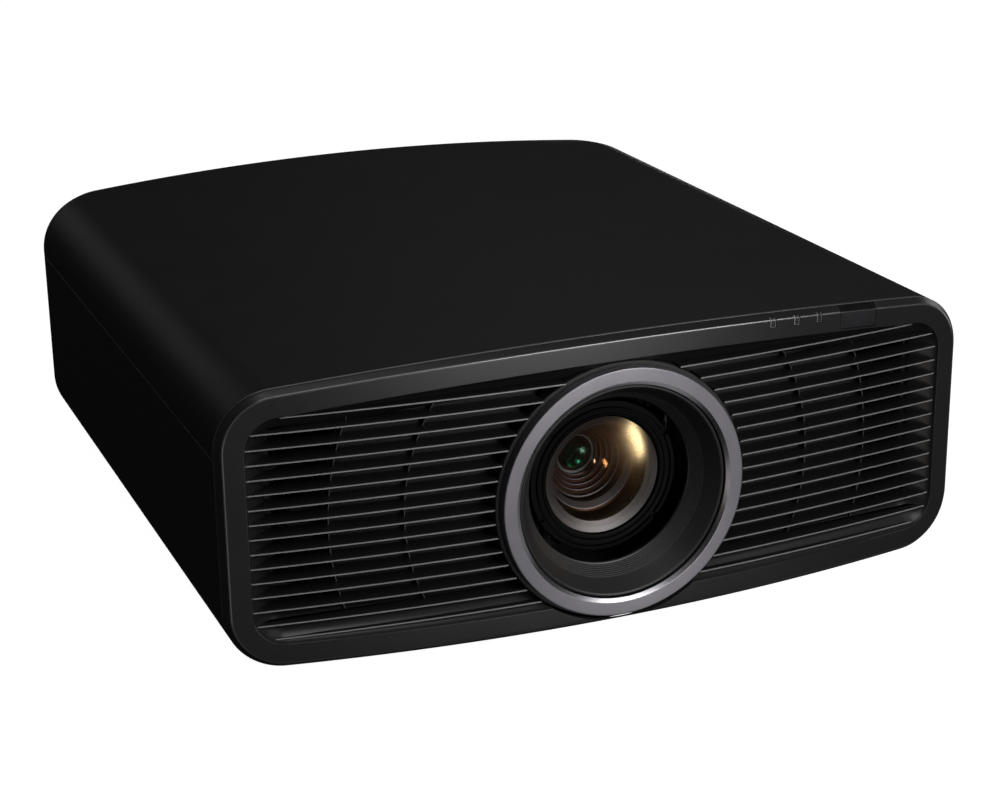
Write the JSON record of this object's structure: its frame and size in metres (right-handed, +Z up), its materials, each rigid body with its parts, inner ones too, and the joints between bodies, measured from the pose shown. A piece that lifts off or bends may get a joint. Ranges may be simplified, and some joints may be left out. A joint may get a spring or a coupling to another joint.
{
  "type": "home cinema projector",
  "caption": "Black home cinema projector: rounded box with a crowned top, a bowed louvred front and a large central lens in a bright satin ring.",
  "frame": {"origin": "centre of the footprint at table height, feet at their shortest", "axes": "+X to the right seen from the front, +Y to the rear along the lens axis, +Z up; the lens faces -Y"},
  "size_m": [0.45, 0.479, 0.181],
  "materials": {
    "matte_black_plastic": "fine matte grain",
    "satin_black_plastic": "satin",
    "gloss_black_plastic": "gloss",
    "smoked_window": "gloss, passes infrared",
    "clear_light_pipe": "clear",
    "satin_aluminium_ring": "satin anodised with a polished inner chamfer",
    "anodised_black": "black anodised",
    "coated_glass": "polished, anti-reflection coated",
    "optical_glass": "polished",
    "aluminium": "machined",
    "cast_magnesium": "as cast",
    "bright_steel": "plain",
    "zinc_plated_sheet": "zinc plated",
    "brass": "machined",
    "nickel_socket": "nickel plated",
    "circuit_board": "solder mask",
    "filter_paper": "pleated paper",
    "rubber": "matte"
  },
  "bodies": {
    "casing": {"top_cover": "matte_black_plastic", "bottom_case": "matte_black_plastic", "front_bezel": "satin_black_plastic", "louvre_grille": "satin_black_plastic", "lens_hood": "matte_black_plastic", "lens_trim_ring": "satin_aluminium_ring", "ir_window": "smoked_window", "indicator_light_pipe": "clear_light_pipe", "rear_panel": "matte_black_plastic", "hdmi_socket_1": "nickel_socket", "hdmi_socket_2": "nickel_socket", "lan_socket": "nickel_socket", "serial_socket": "nickel_socket", "trigger_socket": "nickel_socket", "ac_inlet": "gloss_black_plastic", "chassis_plate": "zinc_plated_sheet", "lens_mount_frame": "zinc_plated_sheet", "optical_engine": "cast_magnesium", "prism_block": "optical_glass", "imaging_panel_red": "aluminium", "imaging_panel_green": "aluminium", "imaging_panel_blue": "aluminium", "laser_module": "cast_magnesium", "heat_sink": "aluminium", "exhaust_fan_left_frame": "matte_black_plastic", "exhaust_fan_right_frame": "matte_black_plastic", "main_board": "circuit_board", "power_supply": "circuit_board"},
    "filter": {"filter_cover": "matte_black_plastic", "air_filter": "filter_paper"},
    "vertical_shift": {"vertical_carriage": "aluminium"},
    "vertical_screw": {"vertical_shift_screw": "bright_steel"},
    "horizontal_screw": {"horizontal_shift_screw": "bright_steel"},
    "lens": {"horizontal_carriage": "aluminium", "lens_barrel": "anodised_black", "focus_motor": "bright_steel", "zoom_motor": "bright_steel"},
    "focus_ring": {"focus_ring": "anodised_black"},
    "focus_pinion": {"focus_pinion": "brass"},
    "front_group": {"front_cell": "anodised_black", "front_element": "coated_glass"},
    "zoom_ring": {"zoom_ring": "anodised_black"},
    "zoom_pinion": {"zoom_pinion": "brass"},
    "variator": {"variator_cell": "anodised_black"},
    "phosphor_wheel": {"phosphor_wheel": "aluminium"},
    "fan_left": {"exhaust_fan_left_rotor": "matte_black_plastic"},
    "fan_right": {"exhaust_fan_right_rotor": "matte_black_plastic"},
    "key_ok": {"key_ok": "matte_black_plastic"},
    "key_up": {"key_up": "matte_black_plastic"},
    "key_down": {"key_down": "matte_black_plastic"},
    "key_left": {"key_left": "matte_black_plastic"},
    "key_right": {"key_right": "matte_black_plastic"},
    "key_power": {"key_power": "matte_black_plastic"},
    "key_input": {"key_input": "matte_black_plastic"},
    "key_menu": {"key_menu": "matte_black_plastic"},
    "key_back": {"key_back": "matte_black_plastic"},
    "foot_front_left": {"foot_front_left": "rubber"},
    "foot_front_right": {"foot_front_right": "rubber"},
    "foot_rear_left": {"foot_rear_left": "rubber"},
    "foot_rear_right": {"foot_rear_right": "rubber"}
  },
  "joints": [
    {"name": "filter_pull", "type": "slide", "parent": "casing", "child": "filter", "axis": [0, 1, 0], "range_m": [0, 0.02]},
    {"name": "vertical_lens_shift", "type": "slide", "parent": "casing", "child": "vertical_shift", "axis": [0, 0, 1], "range_m": [-0.008, 0.008]},
    {"name": "vertical_screw_turn", "type": "hinge", "parent": "casing", "child": "vertical_screw", "pos_m": [0.088, -0.113, 0.089], "axis": [0, 0, 1], "range_deg": [-721, 721]},
    {"name": "horizontal_lens_shift", "type": "slide", "parent": "vertical_shift", "child": "lens", "axis": [1, 0, 0], "range_m": [-0.006, 0.006]},
    {"name": "horizontal_screw_turn", "type": "hinge", "parent": "vertical_shift", "child": "horizontal_screw", "pos_m": [0, -0.121, 0.146], "axis": [1, 0, 0], "range_deg": [-541, 541]},
    {"name": "focus_ring_turn", "type": "hinge", "parent": "lens", "child": "focus_ring", "pos_m": [0, -0.186, 0.089], "axis": [0, 1, 0], "range_deg": [-60, 60]},
    {"name": "focus_pinion_turn", "type": "hinge", "parent": "lens", "child": "focus_pinion", "pos_m": [0.04137, -0.186, 0.13037], "axis": [0, 1, 0], "range_deg": [-274.3, 274.3]},
    {"name": "focus_travel", "type": "slide", "parent": "lens", "child": "front_group", "axis": [0, -1, 0], "range_m": [-0.0035, 0.0035]},
    {"name": "zoom_ring_turn", "type": "hinge", "parent": "lens", "child": "zoom_ring", "pos_m": [0, -0.145, 0.089], "axis": [0, 1, 0], "range_deg": [-60, 60]},
    {"name": "zoom_pinion_turn", "type": "hinge", "parent": "lens", "child": "zoom_pinion", "pos_m": [-0.04137, -0.145, 0.13037], "axis": [0, 1, 0], "range_deg": [-274.3, 274.3]},
    {"name": "zoom_travel", "type": "slide", "parent": "lens", "child": "variator", "axis": [0, -1, 0], "range_m": [-0.0045, 0.0045]},
    {"name": "phosphor_wheel_spin", "type": "hinge", "parent": "casing", "child": "phosphor_wheel", "pos_m": [0.045, 0.083, 0.089], "axis": [0, 1, 0], "continuous": true},
    {"name": "fan_left_spin", "type": "hinge", "parent": "casing", "child": "fan_left", "pos_m": [-0.171, -0.195, 0.089], "axis": [0, -1, 0], "continuous": true},
    {"name": "fan_right_spin", "type": "hinge", "parent": "casing", "child": "fan_right", "pos_m": [0.171, -0.195, 0.089], "axis": [0, -1, 0], "continuous": true},
    {"name": "press_ok", "type": "slide", "parent": "casing", "child": "key_ok", "axis": [0, -1, 0], "range_m": [0, 0.0012], "stiffness_N_per_m": 500, "springref_m": -0.001},
    {"name": "press_up", "type": "slide", "parent": "casing", "child": "key_up", "axis": [0, -1, 0], "range_m": [0, 0.0012], "stiffness_N_per_m": 500, "springref_m": -0.001},
    {"name": "press_down", "type": "slide", "parent": "casing", "child": "key_down", "axis": [0, -1, 0], "range_m": [0, 0.0012], "stiffness_N_per_m": 500, "springref_m": -0.001},
    {"name": "press_left", "type": "slide", "parent": "casing", "child": "key_left", "axis": [0, -1, 0], "range_m": [0, 0.0012], "stiffness_N_per_m": 500, "springref_m": -0.001},
    {"name": "press_right", "type": "slide", "parent": "casing", "child": "key_right", "axis": [0, -1, 0], "range_m": [0, 0.0012], "stiffness_N_per_m": 500, "springref_m": -0.001},
    {"name": "press_power", "type": "slide", "parent": "casing", "child": "key_power", "axis": [0, -1, 0], "range_m": [0, 0.0012], "stiffness_N_per_m": 500, "springref_m": -0.001},
    {"name": "press_input", "type": "slide", "parent": "casing", "child": "key_input", "axis": [0, -1, 0], "range_m": [0, 0.0012], "stiffness_N_per_m": 500, "springref_m": -0.001},
    {"name": "press_menu", "type": "slide", "parent": "casing", "child": "key_menu", "axis": [0, -1, 0], "range_m": [0, 0.0012], "stiffness_N_per_m": 500, "springref_m": -0.001},
    {"name": "press_back", "type": "slide", "parent": "casing", "child": "key_back", "axis": [0, -1, 0], "range_m": [0, 0.0012], "stiffness_N_per_m": 500, "springref_m": -0.001},
    {"name": "level_front_left", "type": "slide", "parent": "casing", "child": "foot_front_left", "axis": [0, 0, -1], "range_m": [0, 0.006]},
    {"name": "level_front_right", "type": "slide", "parent": "casing", "child": "foot_front_right", "axis": [0, 0, -1], "range_m": [0, 0.006]},
    {"name": "level_rear_left", "type": "slide", "parent": "casing", "child": "foot_rear_left", "axis": [0, 0, -1], "range_m": [0, 0.006]},
    {"name": "level_rear_right", "type": "slide", "parent": "casing", "child": "foot_rear_right", "axis": [0, 0, -1], "range_m": [0, 0.006]}
  ],
  "couplings": [
    {"joint": "vertical_screw_turn", "follows": "vertical_lens_shift", "rad_per_m": 1570.8},
    {"joint": "horizontal_screw_turn", "follows": "horizontal_lens_shift", "rad_per_m": 1570.8},
    {"joint": "focus_pinion_turn", "follows": "focus_ring_turn", "ratio": -4.5714},
    {"joint": "focus_travel", "follows": "focus_ring_turn", "m_per_rad": 0.0033422},
    {"joint": "zoom_pinion_turn", "follows": "zoom_ring_turn", "ratio": -4.5714},
    {"joint": "zoom_travel", "follows": "zoom_ring_turn", "m_per_rad": 0.0042971}
  ]
}
